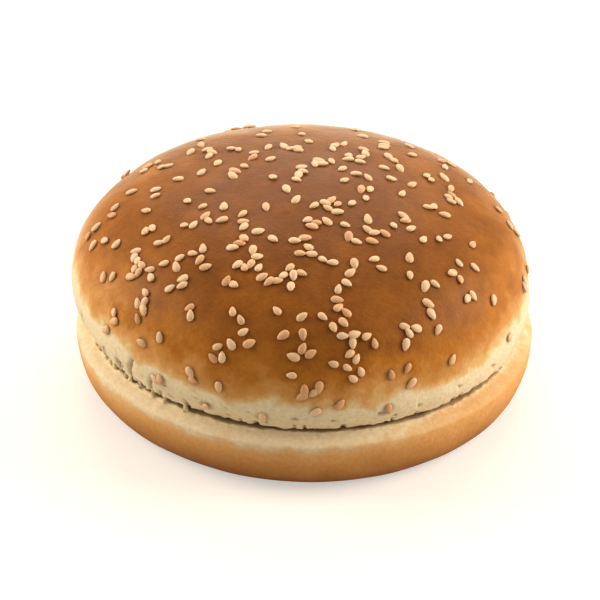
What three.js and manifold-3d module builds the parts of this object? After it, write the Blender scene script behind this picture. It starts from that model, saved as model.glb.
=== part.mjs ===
// A sesame burger bun, sliced through: a domed crown with seeds baked onto it, resting on a flat heel.
// Millimetres, +Z up. The origin is where the bun stands, under the middle of its box.

import * as THREE from 'three';
import { mergeVertices } from 'three/addons/utils/BufferGeometryUtils.js';
import Module from 'manifold-3d';

const wasm = await Module();
wasm.setup();

// The knife cut between the halves, where both draw in to a crease.
const cutHeight = 16.8; // above the base
const cutGap = 0.3;
const cutRadius = 54.6;
const cutEdge = 0.8; // the round on each cut edge

// The heel, from the flat base that lay on the baking tin up to the cut.
const baseRadius = 50.7;
const heelRadius = 57.8;
const heelShoulder = 2.9; // the heel is widest this far under the cut
const heelRoundness = 1.92; // 2 is an ellipse, more is squarer

// The crown, from the cut up to the top of the dome.
const crownHeight = 38.8;
const crownRadius = 57.5;
const crownWaist = 9.0; // the crown is widest this far above the cut
const domeFullness = 2.42; // 2 is an ellipse, more is fuller at the shoulders

// How the oven left the bun: the dome leans over the heel, and neither is quite round.
const leanX = -1.45;
const leanY = 1.0;
const leanHeight = 12.0;
const boxShiftX = 0.75; // brings the middle of the bun's box over the origin
const boxShiftY = -0.1;
const waves = [
  { lobes: 2, height: 0.004, turn: 0.35 },
  { lobes: 3, height: 0.004, turn: 0.9 },
  { lobes: 5, height: 0.002, turn: 2.1 },
];
const dimpleHeight = 0.3;
const dimpleWidth = 9.0;

// The sesame seeds.
const seedCount = 304;
const seedGroups = 180; // the first seeds lie well apart, and the others each near one before them
const groupApart = 3.7;
const seedApart = 1.65;
const besideNear = 1.75;
const besideFar = 3.3;
const seedLine = 13.0; // few seeds lie lower than this above the cut
const seedFade = 7.0;
const lowTurn = 4.9; // radians, the side where they reach lowest
const lowDip = 6.5; // by this much, and across from it they end higher
const seedTop = 15.0; // but nowhere higher than this
const strayShare = 0.45; // of the seeds below the line on the low side, as many as stayed on
const strayWithin = 0.45; // the cosine of how far round from the low side those lie
const sprinkleX = -2.0; // the hand that sprinkled them was over this spot
const sprinkleY = -20.0;
const sprinkleNear = 36.0; // they thin out from this far away
const sprinkleFar = 62.0; // down to the share below at this distance
const sprinkleThin = 0.25;
const seedLength = 3.0;
const seedWidth = 1.9;
const seedThickness = 0.75; // above the crust
const seedRim = 0.2; // widest this far above the crust
const seedSunk = 0.7; // reaches this far into the crust
const seedTaper = 0.17; // makes one end pointed and the other broad
const seedSpread = 0.12; // seeds are up to this share longer or shorter
const seedTilt = 0.1; // radians
const seedSides = 5;
const firstDraw = 3557; // where the repeatable draws begin

// How finely the solids are faceted.
const sides = 48;
const domeSteps = 11;
const wallSteps = 4;
const domeTableSteps = 400;
const wallTableSteps = 40;
const wallTableStart = 8; // seeds lie no lower than this step of the wall

const domeHeight = crownHeight - crownWaist;
const crownBottom = cutHeight + cutGap / 2;
const heelTop = cutHeight - cutGap / 2;

const smooth = (t) => {
  const k = Math.min(Math.max(t, 0), 1);
  return k * k * (3 - 2 * k);
};

// Takes a point of the turned shape to where the oven left it.
function bake(point) {
  const turn = Math.atan2(point.y, point.x);
  const rise = smooth((point.z - crownBottom) / leanHeight);
  let swell = 1;
  for (const wave of waves) {
    swell += wave.height * Math.cos(wave.lobes * (turn - wave.turn));
  }
  const dimple = Math.sin(point.x / dimpleWidth + 1) * Math.cos(point.y / dimpleWidth + 0.4);
  return new THREE.Vector3(
    point.x * swell + leanX * rise + boxShiftX,
    point.y * swell + leanY * rise + boxShiftY,
    point.z + dimpleHeight * rise * dimple,
  );
}

// The dome's outline at angle u, from the waist, 0, to the top, a quarter turn: radius and height.
function domePoint(u) {
  return new THREE.Vector2(
    crownRadius * Math.cos(u),
    cutHeight + crownWaist + domeHeight * Math.pow(Math.sin(u), 2 / domeFullness),
  );
}

// The wall's outline under the waist, from the cut edge, 0, to the waist, 1: radius and height.
function wallPoint(up) {
  const low = crownBottom + cutEdge;
  return new THREE.Vector2(
    crownRadius - (crownRadius - cutRadius) * (1 - up) ** 2,
    low + (cutHeight + crownWaist - low) * up,
  );
}

// The dome's angle at each step of the outline, closer together at the shoulder.
const domeAngle = (i, steps) => (Math.PI / 2) * Math.pow(i / steps, 1.25);

// Turns an outline into a closed mesh about Z, and bakes it.
function turnedMesh(outline) {
  const geometry = new THREE.LatheGeometry(outline, sides);
  geometry.rotateX(Math.PI / 2);
  const position = geometry.getAttribute('position');
  const point = new THREE.Vector3();
  for (let i = 0; i < position.count; i++) {
    point.fromBufferAttribute(position, i);
    const baked = bake(point);
    position.setXYZ(i, baked.x, baked.y, baked.z);
  }
  return geometry;
}

// A quarter round on a cut edge, from the flat of the cut at a height, up or down to the wall.
function edgePoints(height, upwards) {
  const points = [];
  for (let i = 0; i <= 2; i++) {
    const a = (i / 2) * (Math.PI / 2);
    points.push(new THREE.Vector2(
      cutRadius - cutEdge + cutEdge * Math.sin(a),
      height + upwards * cutEdge * (1 - Math.cos(a)),
    ));
  }
  return points;
}

function crownOutline() {
  const points = [new THREE.Vector2(0, crownBottom), ...edgePoints(crownBottom, 1)];
  for (let i = 1; i < wallSteps; i++) {
    points.push(wallPoint(i / wallSteps));
  }
  for (let i = 0; i < domeSteps; i++) {
    points.push(domePoint(domeAngle(i, domeSteps)));
  }
  points.push(new THREE.Vector2(0, cutHeight + crownHeight));
  return points;
}

function heelOutline() {
  const points = [new THREE.Vector2(0, 0)];
  const cornerHeight = heelTop - heelShoulder;
  for (let i = 0; i <= wallSteps + 1; i++) {
    const a = (i / (wallSteps + 1)) * (Math.PI / 2);
    points.push(new THREE.Vector2(
      baseRadius + (heelRadius - baseRadius) * Math.sin(a) ** (2 / heelRoundness),
      cornerHeight * (1 - Math.cos(a) ** (2 / heelRoundness)),
    ));
  }
  const shoulderStep = heelShoulder - cutEdge;
  points.push(new THREE.Vector2(
    cutRadius + (heelRadius - cutRadius) * 0.72,
    heelTop - cutEdge - shoulderStep * 0.45,
  ));
  points.push(...edgePoints(heelTop, -1).reverse());
  points.push(new THREE.Vector2(0, heelTop));
  return points;
}

// The crown's outline by the length along it, from low on the wall up to the top, for the seeds.
const table = [];
function addRow(point) {
  const last = table[table.length - 1];
  const step = last ? Math.hypot(point.x - last.radius, point.y - last.height) : 0;
  table.push({ along: last ? last.along + step : 0, radius: point.x, height: point.y });
}
for (let i = wallTableStart; i < wallTableSteps; i++) {
  addRow(wallPoint(i / wallTableSteps));
}
for (let i = 0; i <= domeTableSteps; i++) {
  addRow(domePoint((Math.PI / 2) * (i / domeTableSteps)));
}
const feeler = 0.5;
const seedReach = table[table.length - 1].along - 2 * feeler;

function turnedPoint(along, turn) {
  let i = 1;
  while (i < table.length - 1 && table[i].along < along) i++;
  const [low, high] = [table[i - 1], table[i]];
  const t = (along - low.along) / (high.along - low.along);
  const radius = low.radius + (high.radius - low.radius) * t;
  const height = low.height + (high.height - low.height) * t;
  return new THREE.Vector3(radius * Math.cos(turn), radius * Math.sin(turn), height);
}

// A repeatable draw from 0 to 1.
let drawn = firstDraw;
function random() {
  drawn = (drawn * 16807) % 2147483647;
  return drawn / 2147483647;
}

// How likely a seed is to stay at a point of the turned shape, from 0 to 1.
function seedShare(point, turn) {
  const towards = Math.cos(turn - lowTurn);
  const line = Math.min(seedLine - lowDip * towards, seedTop);
  const above = smooth((point.z - cutHeight - line) / seedFade);
  const stray = towards > strayWithin ? strayShare : 0;
  const away = Math.hypot(point.x - sprinkleX, point.y - sprinkleY);
  const thinned = (1 - sprinkleThin) * smooth((away - sprinkleNear) / (sprinkleFar - sprinkleNear));
  return Math.max(above, stray) * (1 - thinned);
}

// Where the seeds fall: the first ones anywhere on the crown, well apart, and the others each beside one of
// those before.
function scatterSeeds() {
  const seeds = [];
  while (seeds.length < seedCount) {
    const first = seeds.length < seedGroups;
    const [near, way, yaw, tilt] = [random(), random(), random(), random()];
    const [size, pick, thin, low] = [random(), random(), random(), random()];
    let along = near * seedReach;
    let turn = way * 2 * Math.PI;
    if (!first) {
      const friend = seeds[Math.floor(pick * seeds.length)];
      const away = besideNear + (besideFar - besideNear) * near;
      along = Math.min(Math.max(friend.along + away * Math.sin(turn), 0), seedReach);
      turn = friend.turn + away * Math.cos(turn) / friend.radius;
    }
    const turned = turnedPoint(along, turn);
    const radius = Math.hypot(turned.x, turned.y);
    if (low > seedShare(turned, turn) || (first && thin > radius / crownRadius)) continue;
    const place = bake(turned);
    const apart = first ? groupApart : seedApart;
    if (seeds.some((seed) => seed.place.distanceTo(place) < apart)) continue;
    seeds.push({
      along,
      turn,
      radius,
      place,
      yaw: yaw * 2 * Math.PI,
      tilt: (tilt * 2 - 1) * seedTilt,
      size: 1 + (size * 2 - 1) * seedSpread,
    });
  }
  return seeds;
}

// The frame that a seed lies in: +X along it, +Z out of the crust.
function seedFrame(seed) {
  const { along, turn, radius, place, yaw, tilt } = seed;
  const up = bake(turnedPoint(along + feeler, turn)).sub(place);
  const round = bake(turnedPoint(along, turn + feeler / radius)).sub(place);
  const out = round.cross(up).normalize();
  const side = out.clone().cross(up).normalize();
  const long = side.clone().cross(out).multiplyScalar(Math.cos(yaw)).addScaledVector(side, Math.sin(yaw));
  long.multiplyScalar(Math.cos(tilt)).addScaledVector(out, Math.sin(tilt));
  const across = out.clone().cross(long).normalize();
  return new THREE.Matrix4().makeBasis(long, across, long.clone().cross(across)).setPosition(place);
}

// One seed: a flat teardrop of few sides, pressed into the crust to just under its rim.
function seedMesh(seed) {
  const outline = [[0, -seedSunk], [1, seedRim], [0, seedThickness]];
  const geometry = new THREE.LatheGeometry(outline.map(([r, z]) => new THREE.Vector2(r, z)), seedSides);
  geometry.rotateX(Math.PI / 2);
  geometry.rotateZ(Math.PI / 2);
  const position = geometry.getAttribute('position');
  for (let i = 0; i < position.count; i++) {
    const [x, y] = [position.getX(i), position.getY(i)];
    const taper = 1 - seedTaper * x / Math.max(Math.hypot(x, y), 0.01);
    position.setXY(i, x * seedLength * seed.size / 2, y * taper * seedWidth * seed.size / 2);
  }
  return geometry.applyMatrix4(seedFrame(seed));
}

function toSolid(geometry) {
  const bare = geometry.clone();
  bare.deleteAttribute('normal');
  bare.deleteAttribute('uv');
  const merged = mergeVertices(bare, 1e-4);
  const triVerts = new Uint32Array(merged.index.array);
  const vertProperties = merged.getAttribute('position').array;
  return new wasm.Manifold(new wasm.Mesh({ numProp: 3, vertProperties, triVerts }));
}

function toGeometry(solid) {
  const mesh = solid.getMesh();
  const geometry = new THREE.BufferGeometry();
  geometry.setAttribute('position', new THREE.BufferAttribute(mesh.vertProperties, 3));
  geometry.setIndex(new THREE.BufferAttribute(mesh.triVerts, 1));
  geometry.computeVertexNormals();
  return geometry;
}

// The crown: golden crust and pale waist in one piece of bread, with every seed fused to it.
function makeCrown() {
  let solid = toSolid(turnedMesh(crownOutline()));
  for (const seed of scatterSeeds()) {
    solid = solid.add(toSolid(seedMesh(seed)));
  }
  const crust = new THREE.MeshStandardMaterial({ color: 0xa8642c, roughness: 0.55, metalness: 0 });
  const crown = new THREE.Mesh(toGeometry(solid), crust);
  crown.name = 'crown';
  return crown;
}

// The heel: a shallow round of bread with a pale shoulder and a browned underside.
function makeHeel() {
  const crust = new THREE.MeshStandardMaterial({ color: 0xc88a48, roughness: 0.65, metalness: 0 });
  const heel = new THREE.Mesh(turnedMesh(heelOutline()), crust);
  heel.name = 'heel';
  return heel;
}

const bun = new THREE.Group();
bun.add(makeHeel(), makeCrown());

export default bun;
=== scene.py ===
import math
import bpy
from mathutils import Matrix, Vector, kdtree, noise


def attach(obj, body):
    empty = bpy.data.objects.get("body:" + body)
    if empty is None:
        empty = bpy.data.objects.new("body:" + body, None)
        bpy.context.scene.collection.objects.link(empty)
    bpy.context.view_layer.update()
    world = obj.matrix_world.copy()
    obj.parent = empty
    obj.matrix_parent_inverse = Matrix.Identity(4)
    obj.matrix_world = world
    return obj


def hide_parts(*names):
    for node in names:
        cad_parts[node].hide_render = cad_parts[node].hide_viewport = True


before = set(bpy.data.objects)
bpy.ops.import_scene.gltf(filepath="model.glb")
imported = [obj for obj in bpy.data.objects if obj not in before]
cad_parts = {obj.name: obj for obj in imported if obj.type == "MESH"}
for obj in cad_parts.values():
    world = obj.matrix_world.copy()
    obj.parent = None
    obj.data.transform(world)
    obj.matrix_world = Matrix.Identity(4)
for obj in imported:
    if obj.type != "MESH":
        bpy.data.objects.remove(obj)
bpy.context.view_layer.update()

mm = 0.001

# the whole bun, in mm: a domed crown on a flat heel, parted by a knife cut
bun = {
    "cutHeight": 16.8,
    "cutGap": 0.3,
    "cutRadius": 54.6,
    "cutEdge": 0.8,
    "baseRadius": 50.7,
    "heelRadius": 57.8,
    "heelShoulder": 2.9,
    "heelRoundness": 1.92,
    "crownHeight": 38.8,
    "crownRadius": 57.5,
    "crownWaist": 9.0,
    "domeFullness": 2.42,
    "lean": (-1.45, 1.0),
    "leanHeight": 12.0,
    "shift": (0.75, -0.1),
    "waves": ((2, 0.004, 0.35), (3, 0.004, 0.9), (5, 0.002, 2.1)),
    "dimple": 0.3,
    "dimpleWidth": 9.0,
}
crownBottom = bun["cutHeight"] + bun["cutGap"] / 2
heelTop = bun["cutHeight"] - bun["cutGap"] / 2


def smooth(t):
    k = min(max(t, 0.0), 1.0)
    return k * k * (3 - 2 * k)


# takes a point of the turned shape to where the oven left it, in mm
def bake(p):
    x, y, z = p
    turn = math.atan2(y, x)
    rise = smooth((z - crownBottom) / bun["leanHeight"])
    swell = 1 + sum(height * math.cos(lobes * (turn - at)) for lobes, height, at in bun["waves"])
    dimple = math.sin(x / bun["dimpleWidth"] + 1) * math.cos(y / bun["dimpleWidth"] + 0.4)
    return Vector((
        x * swell + bun["lean"][0] * rise + bun["shift"][0],
        y * swell + bun["lean"][1] * rise + bun["shift"][1],
        z + bun["dimple"] * rise * dimple,
    ))


def domePoint(u):
    height = bun["crownHeight"] - bun["crownWaist"]
    radius = bun["crownRadius"] * math.cos(u)
    return radius, bun["cutHeight"] + bun["crownWaist"] + height * math.sin(u) ** (2 / bun["domeFullness"])


def wallPoint(up):
    low = crownBottom + bun["cutEdge"]
    radius = bun["crownRadius"] - (bun["crownRadius"] - bun["cutRadius"]) * (1 - up) ** 2
    return radius, low + (bun["cutHeight"] + bun["crownWaist"] - low) * up


# small helpers for materials and pieces
def hexColour(text):
    parts = [int(text[i:i + 2], 16) / 255 for i in (1, 3, 5)]
    linear = [c / 12.92 if c <= 0.04045 else ((c + 0.055) / 1.055) ** 2.4 for c in parts]
    return (*linear, 1.0)


# adds a node; an input may be a plain value, a socket, or another node, whose first output is taken
def addNode(tree, kind, inputs=None, **settings):
    node = tree.nodes.new("ShaderNode" + kind)
    for key, value in settings.items():
        setattr(node, key, value)
    for key, value in (inputs or {}).items():
        if isinstance(value, bpy.types.Node):
            value = value.outputs[0]
        if isinstance(value, bpy.types.NodeSocket):
            tree.links.new(value, node.inputs[key])
        else:
            node.inputs[key].default_value = value
    return node


def newMaterial(name):
    material = bpy.data.materials.new(name)
    material.use_nodes = True
    material.node_tree.nodes.clear()
    return material, material.node_tree


def fillRamp(node, stops):
    ramp = node.color_ramp
    while len(ramp.elements) > 1:
        ramp.elements.remove(ramp.elements[-1])
    ramp.elements[0].position = stops[0][0]
    ramp.elements[0].color = hexColour(stops[0][1])
    for position, colour in stops[1:]:
        ramp.elements.new(position).color = hexColour(colour)
    return node.outputs["Color"]


def deselectAll():
    if bpy.context.object and bpy.context.object.mode != "OBJECT":
        bpy.ops.object.mode_set(mode="OBJECT")
    bpy.ops.object.select_all(action="DESELECT")


# a round shell drawn up ring by ring from the middle of its underside to the middle of its top
def turnShell(name, outline, sides, levels):
    deselectAll()
    radius, height = outline[0]
    bpy.ops.mesh.primitive_circle_add(
        vertices=sides, radius=radius * mm, fill_type="TRIFAN", location=(0, 0, height * mm),
    )
    piece = bpy.context.object
    piece.name = name
    bpy.ops.object.mode_set(mode="EDIT")
    bpy.ops.mesh.select_all(action="SELECT")
    bpy.ops.mesh.region_to_loop()
    for nextRadius, nextHeight in outline[1:]:
        bpy.ops.mesh.extrude_edges_move(TRANSFORM_OT_translate={"value": (0, 0, (nextHeight - height) * mm)})
        if abs(nextRadius - radius) > 1e-6:
            k = nextRadius / radius
            bpy.ops.transform.resize(value=(k, k, 1), center_override=(0, 0, nextHeight * mm))
        radius, height = nextRadius, nextHeight
    bpy.ops.mesh.edge_face_add()
    bpy.ops.mesh.poke()
    bpy.ops.mesh.select_all(action="SELECT")
    bpy.ops.mesh.remove_doubles(threshold=1e-6)
    bpy.ops.mesh.normals_make_consistent(inside=False)
    bpy.ops.object.mode_set(mode="OBJECT")
    bpy.ops.object.transform_apply(location=True, rotation=True, scale=True)
    bpy.ops.object.shade_smooth()
    if levels:
        finer = piece.modifiers.new("finer", "SUBSURF")
        finer.levels = levels
        finer.render_levels = levels
        bpy.ops.object.modifier_apply(modifier=finer.name)
    return piece


# sesame seeds, scattered by the same rule as the solid's
sesame = {
    "count": 304,
    "groups": 180,
    "groupApart": 3.7,
    "apart": 1.65,
    "besideNear": 1.75,
    "besideFar": 3.3,
    "line": 13.0,
    "fade": 7.0,
    "lowTurn": 4.9,
    "lowDip": 6.5,
    "top": 15.0,
    "strayShare": 0.45,
    "strayWithin": 0.45,
    "sprinkle": (-2.0, -20.0),
    "sprinkleNear": 36.0,
    "sprinkleFar": 62.0,
    "sprinkleThin": 0.25,
    "length": 3.0,
    "width": 1.9,
    "thickness": 0.98,
    "lift": 0.2,
    "taper": 0.26,
    "bluntEnds": 0.1,
    "thinPoint": 0.25,
    "spread": 0.12,
    "tilt": 0.24,
    "firstDraw": 3557,
    "feeler": 0.5,
    "domeTableSteps": 400,
    "wallTableSteps": 40,
    "wallTableStart": 8,
}


# the crown's outline by the length along it, from low on the wall up to the top
def outlineTable():
    wallSteps, domeSteps = sesame["wallTableSteps"], sesame["domeTableSteps"]
    points = [wallPoint(i / wallSteps) for i in range(sesame["wallTableStart"], wallSteps)]
    points += [domePoint(math.pi / 2 * (i / domeSteps)) for i in range(domeSteps + 1)]
    rows = [(0.0, *points[0])]
    for radius, height in points[1:]:
        along = rows[-1][0] + math.hypot(radius - rows[-1][1], height - rows[-1][2])
        rows.append((along, radius, height))
    return rows


table = outlineTable()
reach = table[-1][0] - 2 * sesame["feeler"]


def turnedPoint(along, turn):
    i = 1
    while i < len(table) - 1 and table[i][0] < along:
        i += 1
    low, high = table[i - 1], table[i]
    t = (along - low[0]) / (high[0] - low[0])
    radius = low[1] + (high[1] - low[1]) * t
    return Vector((radius * math.cos(turn), radius * math.sin(turn), low[2] + (high[2] - low[2]) * t))


def repeatableDraws(seed):
    while True:
        seed = seed * 16807 % 2147483647
        yield seed / 2147483647


# how likely a seed is to stay at a point of the turned shape, from 0 to 1
def seedShare(p, turn):
    towards = math.cos(turn - sesame["lowTurn"])
    line = min(sesame["line"] - sesame["lowDip"] * towards, sesame["top"])
    above = smooth((p.z - bun["cutHeight"] - line) / sesame["fade"])
    stray = sesame["strayShare"] if towards > sesame["strayWithin"] else 0.0
    away = math.hypot(p.x - sesame["sprinkle"][0], p.y - sesame["sprinkle"][1])
    spreadOut = smooth((away - sesame["sprinkleNear"]) / (sesame["sprinkleFar"] - sesame["sprinkleNear"]))
    return max(above, stray) * (1 - (1 - sesame["sprinkleThin"]) * spreadOut)


def scatterSeeds():
    draws = repeatableDraws(sesame["firstDraw"])
    seeds = []
    while len(seeds) < sesame["count"]:
        first = len(seeds) < sesame["groups"]
        near, way, yaw, tilt, size, pick, thin, low = (next(draws) for _ in range(8))
        along = near * reach
        turn = way * 2 * math.pi
        if not first:
            friend = seeds[int(pick * len(seeds))]
            away = sesame["besideNear"] + (sesame["besideFar"] - sesame["besideNear"]) * near
            along = min(max(friend["along"] + away * math.sin(turn), 0), reach)
            turn = friend["turn"] + away * math.cos(turn) / friend["radius"]
        turned = turnedPoint(along, turn)
        radius = math.hypot(turned.x, turned.y)
        if low > seedShare(turned, turn) or (first and thin > radius / bun["crownRadius"]):
            continue
        place = bake(turned)
        apart = sesame["groupApart"] if first else sesame["apart"]
        if any((seed["place"] - place).length < apart for seed in seeds):
            continue
        seeds.append({
            "along": along,
            "turn": turn,
            "radius": radius,
            "place": place,
            "yaw": yaw * 2 * math.pi,
            "tilt": (tilt * 2 - 1) * sesame["tilt"],
            "size": 1 + (size * 2 - 1) * sesame["spread"],
            "toast": thin,
        })
    return seeds


def seedFrame(seed):
    along, turn, place = seed["along"], seed["turn"], seed["place"]
    up = bake(turnedPoint(along + sesame["feeler"], turn)) - place
    around = bake(turnedPoint(along, turn + sesame["feeler"] / seed["radius"])) - place
    out = around.cross(up).normalized()
    side = out.cross(up).normalized()
    flat = side.cross(out) * math.cos(seed["yaw"]) + side * math.sin(seed["yaw"])
    long = flat * math.cos(seed["tilt"]) + out * math.sin(seed["tilt"])
    across = out.cross(long).normalized()
    turned = Matrix((long, across, long.cross(across))).transposed().to_4x4()
    return Matrix.Translation(place + out * sesame["lift"]) @ turned


seeds = scatterSeeds()
seedTree = kdtree.KDTree(len(seeds))
for i, seed in enumerate(seeds):
    seedTree.insert(seed["place"], i)
seedTree.balance()

# the knife cut: its lips part most towards the front, and hang together by threads of crumb at the left
cut = {
    "openTurn": 4.92,
    "openWithin": 0.56,
    "openFade": 0.2,
    "open": 0.85,
    "openMean": 0.85,
    "openChange": 0.6,
    "openSize": 6.0,
    "pinchTurn": 4.71,
    "pinchWithin": 0.95,
    "pinchFade": 0.04,
    "pinch": 0.5,
    "leftTurn": 3.78,
    "leftWithin": 0.9,
    "leftFade": 0.06,
    "leftOpen": 0.55,
    "leftBrokenSize": 2.6,
    "leftTall": 9.5,
    "leftSlant": 0.6,
    "leftTears": 0.12,
    "rest": 0.15,
    "depth": 9.0,
    "lip": 0.6,
    "reach": 3.0,
    "wallReach": 11.0,
    "rim": 2.5,
    "rimFade": 1.5,
    "rippleFade": 3.0,
    "rippleInwards": 0.5,
    "ragged": 0.42,
    "raggedDrop": 0.6,
    "raggedSize": 1.3,
    "raggedReach": 1.8,
    "finer": 2.3,
    "finerShare": 0.6,
    "tearSize": 1.3,
    "tearLength": 16.0,
    "tearFrom": 0.26,
    "tearFade": 0.12,
    "tearDeep": 0.9,
    "tearTall": 1.2,
    "tearEnd": 0.9,
    "tallMean": 0.55,
    "tallChange": 1.1,
    "tallSize": 2.0,
    "pitSize": 1.7,
    "pitFrom": 0.44,
    "pitFade": 0.14,
    "pitDeep": 0.5,
    "pitShade": 0.8,
    "pitBand": (1.0, 5.0),
    "pitBandFade": (0.8, 1.5),
    # painted shade in the slit: radii, fades and height of the darker ring, in mm
    "slitShadeRing": (50.5, 54.0),
    "slitShadeRingFade": (1.5, 0.5),
    "slitShadeRingTall": 0.3,
}


def ringNoise(turn, size, level):
    radius = bun["cutRadius"] / size
    return noise.noise(Vector((radius * math.cos(turn), radius * math.sin(turn), level)))


# 1 where the lips hang together at the left, 0 elsewhere
def leftShare(turn):
    return smooth((math.cos(turn - cut["leftTurn"]) - cut["leftWithin"]) / cut["leftFade"])


# how far the lips draw apart at the cut, in mm
def opening(turn):
    front = smooth((math.cos(turn - cut["openTurn"]) - cut["openWithin"]) / cut["openFade"])
    left = leftShare(turn)
    pinchShare = smooth((math.cos(turn - cut["pinchTurn"]) - cut["pinchWithin"]) / cut["pinchFade"])
    uneven = cut["openMean"] + cut["openChange"] * ringNoise(turn, cut["openSize"], 2.0)
    wide = uneven * (1 - cut["pinch"] * pinchShare)
    broken = smooth(0.5 + 3.0 * ringNoise(turn, cut["leftBrokenSize"], 8.0))
    both = front * (1 - left) * cut["open"] * wide + left * cut["leftOpen"] * broken
    return max(both, 0) + cut["rest"] * (1 - front) * (1 - left)


# how deep a point lies in a tear that runs up from the cut, from 0 to 1
def tear(turn, away):
    left = leftShare(turn)
    slant = turn - left * cut["leftSlant"] * away / bun["cutRadius"]
    line = ringNoise(slant, cut["tearSize"], away / cut["tearLength"])
    streak = smooth((line - cut["tearFrom"] + cut["leftTears"] * left) / cut["tearFade"])
    change = cut["tallMean"] + cut["tallChange"] * ringNoise(slant, cut["tallSize"], 5.0)
    tall = cut["tearTall"] + left * cut["leftTall"] * change
    return streak * (1 - smooth((away - tall) / cut["tearEnd"]))


# small pits that the crumb left in the pale wall
def pit(p, away):
    low, high = cut["pitBand"]
    lowFade, highFade = cut["pitBandFade"]
    spot = smooth((noise.noise(p / cut["pitSize"] + Vector((3, 9, 4))) - cut["pitFrom"]) / cut["pitFade"])
    return spot * smooth((away - low) / lowFade) * (1 - smooth((away - high) / highFade))


# painted shade in the slit: a thin darker ring round the rim of each cut face, just inside the lip
def slitShadeRing(radius, away):
    inner, outer = cut["slitShadeRing"]
    innerFade, outerFade = cut["slitShadeRingFade"]
    ring = smooth((radius - inner) / innerFade) * (1 - smooth((radius - outer) / outerFade))
    return ring * (1 - smooth(away / cut["slitShadeRingTall"]))


# moves one point of a shell from the turned shape to where it settled, and says how much painted shade it
# gets, darker in tears, in pits and round the rim of the cut
def settlePoint(turned, out, cutSide, upwards, settings):
    p = bake(turned)
    away = max((turned.z - cutSide) * upwards, 0)
    radius = math.hypot(turned.x, turned.y)
    ripple = noise.noise(p / settings["rippleSize"]) - cut["rippleInwards"]
    p += out * settings["ripple"] * ripple * smooth(away / cut["rippleFade"])
    p.z = max(p.z, 0.0)
    if away > cut["wallReach"] or radius < bun["cutRadius"] - cut["depth"]:
        return p, 0.0
    turn = math.atan2(turned.y, turned.x)
    flare = smooth((radius - bun["cutRadius"] + cut["depth"]) / (cut["depth"] - cut["lip"]))
    p.z += upwards * opening(turn) / 2 * flare * (1 - smooth(away / cut["reach"]))
    rim = smooth((radius - bun["cutRadius"] + cut["rim"]) / cut["rimFade"])
    inwards = Vector((math.cos(turn), math.sin(turn), 0)) * -rim
    deep = tear(turn, away) * settings["tears"]
    pitted = pit(p, away) * settings["pits"]
    q = p / cut["raggedSize"]
    fine = noise.noise(q) + cut["finerShare"] * noise.noise(q * cut["finer"])
    drop = noise.noise(q + Vector((31, 7, 5)))
    near = (1 - smooth(away / cut["raggedReach"])) * cut["ragged"]
    p += inwards * (deep * cut["tearDeep"] + pitted * cut["pitDeep"] - fine * near)
    p.z += rim * drop * near * cut["raggedDrop"]
    # the second value is painted shade in tears, pits and the slit
    return p, max(min(deep + cut["pitShade"] * pitted, 1.0) * rim, slitShadeRing(radius, away))


def settle(piece, cutSide, upwards, settings):
    start = [(vertex.co / mm, vertex.normal.copy()) for vertex in piece.data.vertices]
    places = []
    paintedShade = []
    for turned, out in start:
        p, deep = settlePoint(turned, out, cutSide, upwards, settings)
        places += [c * mm for c in p]
        paintedShade.append(deep)
    piece.data.vertices.foreach_set("co", places)
    # the painted shade of tears, pits and the slit, kept on the mesh
    piece.data.attributes.new("paintedShade", "FLOAT", "POINT").data.foreach_set("value", paintedShade)
    piece.data.update()


def edgeRound(height, upwards, steps):
    points = []
    for i in range(steps + 1):
        a = i / steps * math.pi / 2
        radius = bun["cutRadius"] - bun["cutEdge"] + bun["cutEdge"] * math.sin(a)
        points.append((radius, height + upwards * bun["cutEdge"] * (1 - math.cos(a))))
    return points


# crown
crownShell = {
    "sides": 144,
    "flat": (18.0, 38.0, 48.0, 51.5),
    "edgeSteps": 2,
    "wallSteps": 7,
    "domeSteps": 24,
    "domeEven": 1.15,
    "levels": 2,
    "ripple": 0.14,
    "rippleSize": 7.0,
    "tears": 1.0,
    "pits": 1.0,
    # glaze and painted shade round each seed: full up to one distance, gone at the next, in mm
    "glazeAndShadeFull": 0.9,
    "glazeAndShadeReach": 2.3,
    "dentReach": 2.0,
    "dent": 0.12,
}


def crownOutline():
    points = [(r, crownBottom) for r in crownShell["flat"]]
    points += edgeRound(crownBottom, 1, crownShell["edgeSteps"])
    points += [wallPoint(i / crownShell["wallSteps"]) for i in range(1, crownShell["wallSteps"])]
    steps = crownShell["domeSteps"]
    points += [domePoint(math.pi / 2 * (i / steps) ** crownShell["domeEven"]) for i in range(steps)]
    return points


# the glaze pools and browns around each seed, where the dough has sunk a little; this darker ring round each
# seed is partly painted shade
def pressSeeds(piece):
    start = [(vertex.co / mm, vertex.normal.copy()) for vertex in piece.data.vertices]
    full, reachOut = crownShell["glazeAndShadeFull"], crownShell["glazeAndShadeReach"]
    places = []
    glazeAndShadeNear = []
    for p, out in start:
        away = seedTree.find(p)[2]
        share = 1 - smooth((away - full) / (reachOut - full))
        sunk = crownShell["dent"] * (1 - smooth(away / crownShell["dentReach"]))
        places += [c * mm for c in p - out * sunk]
        glazeAndShadeNear.append(share)
    piece.data.vertices.foreach_set("co", places)
    # glaze and painted shade round each seed, kept on the mesh
    piece.data.attributes.new("glazeAndShade", "FLOAT", "POINT").data.foreach_set("value", glazeAndShadeNear)
    piece.data.update()


crown = turnShell("crown_crust", crownOutline(), crownShell["sides"], crownShell["levels"])
settle(crown, crownBottom, 1, crownShell)
pressSeeds(crown)
print("crown shell:", len(crown.data.polygons), "faces")

# heel
heelShell = {
    "sides": 144,
    "base": (14.0, 32.0, 45.0),
    "shoulder": ((0.95, 0.75), (0.72, 0.45), (0.36, 0.17)),  # shares of the way out, and of the way down
    "cornerSteps": 11,
    "edgeSteps": 2,
    "levels": 2,
    "ripple": 0.14,
    "rippleSize": 8.0,
    "tears": 0.0,
    "pits": 0.0,  # the heel has neither tears nor pits
}


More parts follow.
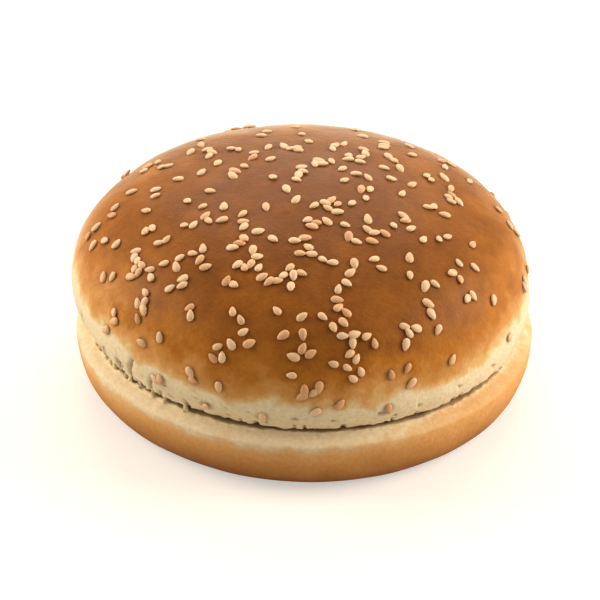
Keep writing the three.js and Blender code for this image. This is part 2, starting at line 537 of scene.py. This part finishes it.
def heelOutline():
    points = [(r, 0.0) for r in heelShell["base"]]
    corner = heelTop - bun["heelShoulder"]
    roundness = 2 / bun["heelRoundness"]
    for i in range(heelShell["cornerSteps"] + 1):
        a = i / heelShell["cornerSteps"] * math.pi / 2
        wide = (bun["heelRadius"] - bun["baseRadius"]) * math.sin(a) ** roundness
        points.append((bun["baseRadius"] + wide, corner * (1 - math.cos(a) ** roundness)))
    rim = bun["heelRadius"] - bun["cutRadius"]
    drop = bun["heelShoulder"] - bun["cutEdge"]
    for share, down in heelShell["shoulder"]:
        points.append((bun["cutRadius"] + rim * share, heelTop - bun["cutEdge"] - drop * down))
    points += edgeRound(heelTop, -1, heelShell["edgeSteps"])[::-1]
    points += [(r, heelTop) for r in crownShell["flat"][::-1]]
    return points


heel = turnShell("heel_crust", heelOutline(), heelShell["sides"], heelShell["levels"])
settle(heel, heelTop, -1, heelShell)
print("heel shell:", len(heel.data.polygons), "faces")

# one seed: a flattened ball, drawn out to a point at one end
def oneSeed():
    deselectAll()
    bpy.ops.mesh.primitive_uv_sphere_add(segments=10, ring_count=6, radius=0.5, location=(0, 0, 0))
    seed = bpy.context.object
    bpy.ops.object.mode_set(mode="EDIT")
    bpy.ops.mesh.select_all(action="SELECT")
    bpy.ops.transform.rotate(value=math.pi / 2, orient_axis="Y", center_override=(0, 0, 0))
    size = Vector((sesame["length"], sesame["width"], sesame["thickness"])) * mm
    bpy.ops.transform.resize(value=size)
    bpy.ops.object.mode_set(mode="OBJECT")
    half = sesame["length"] * mm / 2
    for vertex in seed.data.vertices:
        along = vertex.co.x / half
        vertex.co.y *= 1 - sesame["taper"] * along - sesame["bluntEnds"] * along * along
        vertex.co.z *= 1 - sesame["thinPoint"] * sesame["taper"] * along
    return seed


# one mesh of many copies of a pattern, which is then removed
def joinCopies(name, pattern, places):
    corners = [vertex.co / mm for vertex in pattern.data.vertices]
    faces = [list(face.vertices) for face in pattern.data.polygons]
    points = []
    allFaces = []
    for i, place in enumerate(places):
        points += [place @ corner * mm for corner in corners]
        allFaces += [[v + i * len(corners) for v in face] for face in faces]
    mesh = bpy.data.meshes.new(name)
    mesh.from_pydata(points, [], allFaces)
    mesh.polygons.foreach_set("use_smooth", [True] * len(mesh.polygons))
    piece = bpy.data.objects.new(name, mesh)
    bpy.context.collection.objects.link(piece)
    bpy.data.objects.remove(pattern, do_unlink=True)
    return piece


seedPlaces = [seedFrame(seed) @ Matrix.Scale(seed["size"], 4) for seed in seeds]
seedPiece = joinCopies("sesame_seeds", oneSeed(), seedPlaces)
seedCorners = len(seedPiece.data.vertices) // len(seeds)
toast = [seed["toast"] for seed in seeds for _ in range(seedCorners)]
seedPiece.data.attributes.new("toast", "FLOAT", "POINT").data.foreach_set("value", toast)
print("sesame seeds:", len(seeds))

# threads of crumb that the knife left hanging across the cut
threads = {
    "count": 13,
    "fromTurn": 3.38,
    "toTurn": 4.24,
    "length": 2.7,
    "width": 1.5,
    "thickness": 1.1,
    "radius": 54.45,
    "lean": 0.45,
    "scatter": 1.6,
    "upAndDown": 0.8,
    "widths": (0.35, 1.1),
    "lengths": (0.7, 0.5),
    "waist": 0.6,
    "flatEnds": 0.3,
    "rough": 0.5,
    "roughPerMm": 1.3,
    "firstDraw": 911,
}


# one thread: a strand with a thin waist and spread ends
def oneThread():
    deselectAll()
    bpy.ops.mesh.primitive_uv_sphere_add(segments=8, ring_count=10, radius=0.5, location=(0, 0, 0))
    strand = bpy.context.object
    bpy.ops.object.mode_set(mode="EDIT")
    bpy.ops.mesh.select_all(action="SELECT")
    size = Vector((threads["thickness"], threads["width"], threads["length"])) * mm
    bpy.ops.transform.resize(value=size)
    bpy.ops.object.mode_set(mode="OBJECT")
    half = threads["length"] * mm / 2
    for vertex in strand.data.vertices:
        along = vertex.co.z / half
        rough = 1 + threads["rough"] * noise.noise(vertex.co / mm * threads["roughPerMm"])
        vertex.co.x *= (1 - threads["flatEnds"] * along * along) * rough
        vertex.co.y *= (threads["waist"] + along * along) * rough
    return strand


def placeThreads():
    draws = repeatableDraws(threads["firstDraw"])
    thinnest, wider = threads["widths"]
    shortest, longer = threads["lengths"]
    places = []
    for i in range(threads["count"]):
        shift, lean, tall, wide, rise = (next(draws) for _ in range(5))
        share = (i + threads["scatter"] * shift - 0.3) / threads["count"]
        turn = threads["fromTurn"] + (threads["toTurn"] - threads["fromTurn"]) * share
        foot = Vector((math.cos(turn), math.sin(turn), 0)) * threads["radius"]
        foot.z = bun["cutHeight"] + (rise - 0.3) * threads["upAndDown"]
        leant = Matrix.Rotation(turn, 4, "Z") @ Matrix.Rotation((lean - 0.3) * 2 * threads["lean"], 4, "X")
        grown = Matrix.Diagonal((1, thinnest + wider * wide * wide, shortest + longer * tall, 1))
        places.append(Matrix.Translation(bake(foot)) @ leant @ grown)
    return places


threadPlaces = placeThreads()
threadPiece = joinCopies("crumb_threads", oneThread(), threadPlaces)
print("crumb threads:", len(threadPlaces))

# materials
crustLook = {
    "cream": "#F1DFB8",
    "straw": "#E4BC7E",
    "gold": "#D69A55",
    "amber": "#B97427",
    "brown": "#96591B",
    "dark": "#7A4512",
    # glaze and painted shade round the seeds
    "glazeAndShade": "#6E3D12",
    "glazeAndShadeShare": 0.42,
    # painted shade in tears, pits and the slit
    "paintedShade": "#85602A",
    "paintedShadeShare": 0.65,
    "freckle": "#B98A52",
    "freckleShare": 0.22,
    "lowSide": (0.208, -0.978, 0),
    "lineMean": 15.6,
    "lineDip": 7.6,
    "lineTop": 18.0,
    "lineSoft": 3.0,
    "palest": -3.0,
    "darkest": 27.0,
    "wander": 5.0,
    "wanderSize": 11.0,
    "scallop": 2.4,
    "scallopSize": 4.0,
    "mottle": 7.0,
    "mottleSize": 16.0,
    "patch": 4.0,
    "patchSize": 5.5,
    "mottleFrom": 1.0,
    "mottleTo": 9.0,
    "mattRough": 0.86,
    "glazeSmoother": 0.4,
    "roughChange": 0.06,
    "roughSize": 9.0,
    "skinSize": 2.4,
    "pimpleSize": 0.7,
    "sheenTint": "#FFF2DC",
}
heelLook = {
    "cream": "#F0DAB0",
    "straw": "#E8BE86",
    "gold": "#E6AA62",
    "amber": "#D08F45",
    "brown": "#AE7032",
    "deepest": 17.0,
    # painted shade in the slit
    "paintedShade": "#85602A",
    "paintedShadeShare": 0.75,
    "freckle": "#BC9058",
    "freckleShare": 0.2,
    "rightSide": (0.82, -0.57, 0),
    "creamLess": 3.0,
    "brownSide": (-0.42, -0.91, 0),
    "brownMore": 3.5,
    "brownFrom": 4.0,
    "brownTo": 9.0,
    "wander": 3.0,
    "wanderSize": 8.0,
    "edge": 1.0,
    "edgeSize": 2.8,
    "rough": 0.72,
}
seedLook = {
    "ivory": "#EAC59A",
    "straw": "#E2B485",
    "toasted": "#D39A67",
    "rough": 0.45,
    "grainSize": 0.5,
}
crumbLook = {
    "shaded": "#DDC08A",
    "cream": "#EFDBB0",
    "patchSize": 1.4,
    "rough": 0.85,
    "poreSize": 0.9,
    "unevenSize": 2.2,
}
freckleSize = 1.1  # in mm, on both halves


# where a point of the piece is, in mm
def millimetres(tree):
    coordinates = addNode(tree, "TexCoord").outputs["Object"]
    return addNode(tree, "VectorMath", {0: coordinates, "Scale": 1 / mm}, operation="SCALE")


# a slow change of a size in mm, up to the given height either way
def waver(tree, place, size, height):
    pattern = addNode(tree, "TexNoise", {"Vector": place, "Scale": 1 / size, "Detail": 4.0})
    return addNode(tree, "Math", {0: pattern, 1: 2 * height, 2: -height}, operation="MULTIPLY_ADD")


# fine darker freckles over a crust
def freckled(tree, place, colour, look):
    inputs = {"Vector": place, "Scale": 1 / freckleSize, "Detail": 3.0, "Roughness": 0.7}
    grain = addNode(tree, "TexNoise", inputs)
    share = addNode(tree, "MapRange", {
        "Value": grain, "From Min": 0.35, "From Max": 0.65, "To Max": look["freckleShare"],
    })
    darker = {0: share, 6: colour, 7: hexColour(look["freckle"])}
    return addNode(tree, "Mix", darker, data_type="RGBA", blend_type="MULTIPLY").outputs[2]


# a darker crust where the mesh says so: glaze and painted shade round the seeds, painted shade in tears,
# pits and the slit
def glazedAndShaded(tree, colour, name, share, darkerColour):
    there = addNode(tree, "Attribute", attribute_name=name).outputs["Fac"]
    strength = addNode(tree, "Math", {0: there, 1: share}, operation="MULTIPLY")
    inputs = {0: strength, 6: colour, 7: hexColour(darkerColour)}
    return addNode(tree, "Mix", inputs, data_type="RGBA").outputs[2]


# open crumb: fine pores over a slow unevenness, as a height for bump
def crumbGrain(tree, place):
    pores = addNode(tree, "TexVoronoi", {"Vector": place, "Scale": 1 / crumbLook["poreSize"]})
    shallow = addNode(tree, "Math", {0: pores, 1: 0.5}, operation="MULTIPLY")
    inputs = {"Vector": place, "Scale": 1 / crumbLook["unevenSize"], "Detail": 4.0, "Roughness": 0.65}
    coarse = addNode(tree, "TexNoise", inputs)
    return addNode(tree, "Math", {0: shallow, 1: coarse}, operation="ADD")


# how far a point of the crown lies above the line where the browning starts, in mm
def aboveBrowningLine(tree, place):
    height = addNode(tree, "SeparateXYZ", {0: place}).outputs["Z"]
    height = addNode(tree, "Math", {0: height, 1: bun["cutHeight"]}, operation="SUBTRACT")
    side = addNode(tree, "VectorMath", {0: place, 1: crustLook["lowSide"]}, operation="DOT_PRODUCT")
    slope = crustLook["lineDip"] / bun["crownRadius"]
    dip = addNode(tree, "Math", {0: side.outputs["Value"], 1: slope}, operation="MULTIPLY")
    line = addNode(tree, "Math", {0: crustLook["lineMean"], 1: dip}, operation="SUBTRACT")
    lineInputs = {0: line, 1: crustLook["lineTop"], 2: crustLook["lineSoft"]}
    line = addNode(tree, "Math", lineInputs, operation="SMOOTH_MIN")
    above = addNode(tree, "Math", {0: height, 1: line}, operation="SUBTRACT")
    wander = waver(tree, place, crustLook["wanderSize"], crustLook["wander"])
    above = addNode(tree, "Math", {0: above, 1: wander}, operation="ADD")
    scallop = waver(tree, place, crustLook["scallopSize"], crustLook["scallop"])
    return addNode(tree, "Math", {0: above, 1: scallop}, operation="ADD")


# baked wheat crust with egg wash: satin brown on top, matt cream where the dough stayed covered
def eggWashedCrust():
    material, tree = newMaterial("egg_washed_crust")
    place = millimetres(tree)
    above = aboveBrowningLine(tree, place)
    mottle = waver(tree, place, crustLook["mottleSize"], crustLook["mottle"])
    patch = waver(tree, place, crustLook["patchSize"], crustLook["patch"])
    mottle = addNode(tree, "Math", {0: mottle, 1: patch}, operation="ADD")
    mottleShare = addNode(tree, "MapRange", {
        "Value": above, "From Min": crustLook["mottleFrom"], "From Max": crustLook["mottleTo"],
    })
    browning = addNode(tree, "Math", {0: mottle, 1: mottleShare, 2: above}, operation="MULTIPLY_ADD")
    browning = addNode(tree, "MapRange", {
        "Value": browning, "From Min": crustLook["palest"], "From Max": crustLook["darkest"],
    })
    colour = fillRamp(addNode(tree, "ValToRGB", {0: browning}), [
        (0.06, crustLook["cream"]),
        (0.11, crustLook["straw"]),
        (0.17, crustLook["gold"]),
        (0.33, crustLook["amber"]),
        (0.58, crustLook["brown"]),
        (0.9, crustLook["dark"]),
    ])
    colour = freckled(tree, place, colour, crustLook)
    # glaze and painted shade round each seed
    colour = glazedAndShaded(tree, colour, "glazeAndShade", crustLook["glazeAndShadeShare"], crustLook["glazeAndShade"])
    # painted shade in tears, pits and the slit
    colour = glazedAndShaded(tree, colour, "paintedShade", crustLook["paintedShadeShare"], crustLook["paintedShade"])
    brown = addNode(tree, "MapRange", {"Value": above, "From Min": -1.0, "From Max": 4.0})
    rubbed = addNode(tree, "TexNoise", {"Vector": place, "Scale": 1 / crustLook["roughSize"], "Detail": 3.0})
    patchy = addNode(tree, "MapRange", {
        "Value": rubbed, "From Min": 0.3, "From Max": 0.7,
        "To Min": -crustLook["roughChange"], "To Max": crustLook["roughChange"],
    })
    satinInputs = {0: brown, 1: -crustLook["glazeSmoother"], 2: crustLook["mattRough"]}
    satin = addNode(tree, "Math", satinInputs, operation="MULTIPLY_ADD")
    satin = addNode(tree, "Math", {0: satin, 1: patchy}, operation="ADD")
    skinInputs = {"Vector": place, "Scale": 1 / crustLook["skinSize"], "Detail": 4.0, "Roughness": 0.6}
    skin = addNode(tree, "TexNoise", skinInputs)
    pimpleInputs = {"Vector": place, "Scale": 1 / crustLook["pimpleSize"], "Detail": 2.0}
    pimples = addNode(tree, "TexNoise", pimpleInputs)
    skin = addNode(tree, "Math", {0: skin, 1: pimples}, operation="ADD")
    relief = addNode(tree, "Mix", {0: brown, 2: crumbGrain(tree, place), 3: skin})
    crust = addNode(tree, "BsdfPrincipled", {
        "Base Color": colour,
        "Roughness": satin,
        "Normal": addNode(tree, "Bump", {"Height": relief, "Strength": 0.4, "Distance": 0.25 * mm}),
        "Specular IOR Level": 0.1,
        "Sheen Weight": 1.0,
        "Sheen Roughness": 0.24,
        "Sheen Tint": hexColour(crustLook["sheenTint"]),
    })
    addNode(tree, "OutputMaterial", {"Surface": crust})
    return material


# how far a point of the heel lies below the cut, in mm, made deeper towards the right and towards the front
# left, so that the crust is browner there
def depthBelowCut(tree, place):
    height = addNode(tree, "SeparateXYZ", {0: place}).outputs["Z"]
    depth = addNode(tree, "Math", {0: bun["cutHeight"], 1: height}, operation="SUBTRACT")
    right = addNode(tree, "VectorMath", {0: place, 1: heelLook["rightSide"]}, operation="DOT_PRODUCT")
    right = addNode(tree, "Math", {0: right.outputs["Value"], 1: bun["heelRadius"]}, operation="DIVIDE")
    creamLess = addNode(tree, "MapRange", {
        "Value": right, "From Min": 0.6, "From Max": 0.95, "To Max": heelLook["creamLess"],
    })
    depth = addNode(tree, "Math", {0: depth, 1: creamLess}, operation="ADD")
    front = addNode(tree, "VectorMath", {0: place, 1: heelLook["brownSide"]}, operation="DOT_PRODUCT")
    front = addNode(tree, "Math", {0: front.outputs["Value"], 1: bun["heelRadius"]}, operation="DIVIDE")
    deeper = addNode(tree, "MapRange", {
        "Value": depth, "From Min": heelLook["brownFrom"], "From Max": heelLook["brownTo"],
    })
    deeper = addNode(tree, "Math", {0: deeper, 1: heelLook["brownMore"]}, operation="MULTIPLY")
    frontShare = addNode(tree, "MapRange", {"Value": front, "From Min": 0.5, "From Max": 1.0})
    depth = addNode(tree, "Math", {0: frontShare, 1: deeper, 2: depth}, operation="MULTIPLY_ADD")
    wander = waver(tree, place, heelLook["wanderSize"], heelLook["wander"])
    depth = addNode(tree, "Math", {0: depth, 1: wander}, operation="ADD")
    edge = waver(tree, place, heelLook["edgeSize"], heelLook["edge"])
    return addNode(tree, "Math", {0: depth, 1: edge}, operation="ADD")


# the same dough under the cut: cream at the lip, baked light brown down to the tin
def tinBakedCrust():
    material, tree = newMaterial("tin_baked_crust")
    place = millimetres(tree)
    depth = depthBelowCut(tree, place)
    browning = addNode(tree, "MapRange", {"Value": depth, "From Min": 0.0, "From Max": heelLook["deepest"]})
    colour = fillRamp(addNode(tree, "ValToRGB", {0: browning}), [
        (0.16, heelLook["cream"]),
        (0.25, heelLook["straw"]),
        (0.38, heelLook["gold"]),
        (0.72, heelLook["amber"]),
        (1.0, heelLook["brown"]),
    ])
    colour = freckled(tree, place, colour, heelLook)
    # painted shade in the slit
    colour = glazedAndShaded(tree, colour, "paintedShade", heelLook["paintedShadeShare"], heelLook["paintedShade"])
    grain = crumbGrain(tree, place)
    crust = addNode(tree, "BsdfPrincipled", {
        "Base Color": colour,
        "Roughness": heelLook["rough"],
        "Normal": addNode(tree, "Bump", {"Height": grain, "Strength": 0.4, "Distance": 0.25 * mm}),
    })
    addNode(tree, "OutputMaterial", {"Surface": crust})
    return material


# hulled white sesame, lightly toasted: ivory to pale straw, slightly waxy
def toastedSesame():
    material, tree = newMaterial("toasted_sesame")
    place = millimetres(tree)
    toast = addNode(tree, "Attribute", attribute_name="toast").outputs["Fac"]
    colour = fillRamp(addNode(tree, "ValToRGB", {0: toast}), [
        (0.0, seedLook["ivory"]),
        (0.6, seedLook["straw"]),
        (1.0, seedLook["toasted"]),
    ])
    grain = addNode(tree, "TexNoise", {"Vector": place, "Scale": 1 / seedLook["grainSize"], "Detail": 2.0})
    hull = addNode(tree, "BsdfPrincipled", {
        "Base Color": colour,
        "Roughness": seedLook["rough"],
        "Normal": addNode(tree, "Bump", {"Height": grain, "Strength": 0.2, "Distance": 0.1 * mm}),
        "IOR": 1.47,
    })
    addNode(tree, "OutputMaterial", {"Surface": hull})
    return material


# torn crumb: cream and matt, with fine pores
def tornCrumb():
    material, tree = newMaterial("torn_crumb")
    place = millimetres(tree)
    patchInputs = {"Vector": place, "Scale": 1 / crumbLook["patchSize"], "Detail": 3.0}
    patches = addNode(tree, "TexNoise", patchInputs)
    colour = fillRamp(addNode(tree, "ValToRGB", {0: patches}), [
        (0.3, crumbLook["shaded"]),
        (0.7, crumbLook["cream"]),
    ])
    grain = crumbGrain(tree, place)
    crumb = addNode(tree, "BsdfPrincipled", {
        "Base Color": colour,
        "Roughness": crumbLook["rough"],
        "Normal": addNode(tree, "Bump", {"Height": grain, "Strength": 0.6, "Distance": 0.3 * mm}),
    })
    addNode(tree, "OutputMaterial", {"Surface": crumb})
    return material


def finishPiece(piece, material, slotName, *nodes):
    piece.data.materials.clear()
    piece.data.materials.append(material)
    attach(piece, "root")
    if nodes:
        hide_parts(*nodes)


finishPiece(crown, eggWashedCrust(), "crown_bread", "crown")
finishPiece(heel, tinBakedCrust(), "heel_bread", "heel")
finishPiece(seedPiece, toastedSesame(), "sesame_seed")
finishPiece(threadPiece, tornCrumb(), "crumb")
print("materials done")

# floor, light and camera
studio = {
    "floorSize": 6.0,
    "floor": "#CCC7BE",
    "floorGlow": 0.5,
    "floorRough": 0.9,
    "lightsAimAt": (0.0, 0.0, 0.03),
    "world": "#FFFBF4",
    "worldStrength": 0.32,
    "lights": (
        # name, place in m, size in m, power in W, colour
        ("left_box", (-0.56, 0.08, 0.3), 0.4, 3.5, "#FFF5E8"),
        ("right_box", (0.55, 0.03, 0.3), 0.4, 4.0, "#FFF5E8"),
        ("back_top", (0.0, 0.55, 0.5), 0.6, 3.9, "#FFF8EC"),
        ("overhead", (0.2, -0.3, 0.85), 0.8, 0.8, "#FFF5E8"),
    ),
}
view = {
    "lookAt": (0.75, -0.1, 31.8),
    "distance": 700.0,
    "elevation": 30.7,
    "lens": 167.2,
    "sensor": 36.0,
    "aimLeft": 1.51,
    "aimDown": 10.2,
    "roll": 1.6,
}


# the paper glows for the camera alone, so it looks pale and still leaves the bun's side in shade
def makeStudio():
    deselectAll()
    bpy.ops.mesh.primitive_plane_add(size=studio["floorSize"], location=(0, 0, 0))
    floor = bpy.context.object
    floor.name = "floor"
    material, tree = newMaterial("matt_paper")
    seen = addNode(tree, "LightPath").outputs["Is Camera Ray"]
    glow = addNode(tree, "Math", {0: seen, 1: studio["floorGlow"]}, operation="MULTIPLY")
    paper = addNode(tree, "BsdfPrincipled", {
        "Base Color": hexColour(studio["floor"]),
        "Roughness": studio["floorRough"],
        "Emission Color": hexColour(studio["world"]),
        "Emission Strength": glow,
    })
    addNode(tree, "OutputMaterial", {"Surface": paper})
    floor.data.materials.append(material)
    for name, place, size, power, colour in studio["lights"]:
        lamp = bpy.data.lights.new(name, "AREA")
        lamp.size = size
        lamp.energy = power
        lamp.color = hexColour(colour)[:3]
        holder = bpy.data.objects.new(name, lamp)
        holder.location = place
        aim = Vector(studio["lightsAimAt"]) - Vector(place)
        holder.rotation_euler = aim.to_track_quat("-Z", "Y").to_euler()
        bpy.context.collection.objects.link(holder)
    world = bpy.data.worlds.new("studio_air")
    world.use_nodes = True
    background = world.node_tree.nodes["Background"]
    background.inputs["Color"].default_value = hexColour(studio["world"])
    background.inputs["Strength"].default_value = studio["worldStrength"]
    bpy.context.scene.world = world


def makeCamera():
    lens = bpy.data.cameras.new("camera")
    lens.lens = view["lens"]
    lens.sensor_width = view["sensor"]
    camera = bpy.data.objects.new("camera", lens)
    bpy.context.collection.objects.link(camera)
    up = math.radians(view["elevation"])
    place = Vector(view["lookAt"]) + view["distance"] * Vector((0, -math.cos(up), math.sin(up)))
    aim = Vector(view["lookAt"]) - view["aimDown"] * Vector((0, math.sin(up), math.cos(up)))
    aim.x -= view["aimLeft"]
    turned = (aim - place).to_track_quat("-Z", "Y").to_matrix().to_4x4()
    rolled = Matrix.Rotation(math.radians(view["roll"]), 4, "Z")
    camera.matrix_world = Matrix.Translation(place * mm) @ turned @ rolled
    bpy.context.scene.camera = camera


makeStudio()
makeCamera()
bpy.context.scene.view_settings.view_transform = "Standard"
print("studio done")
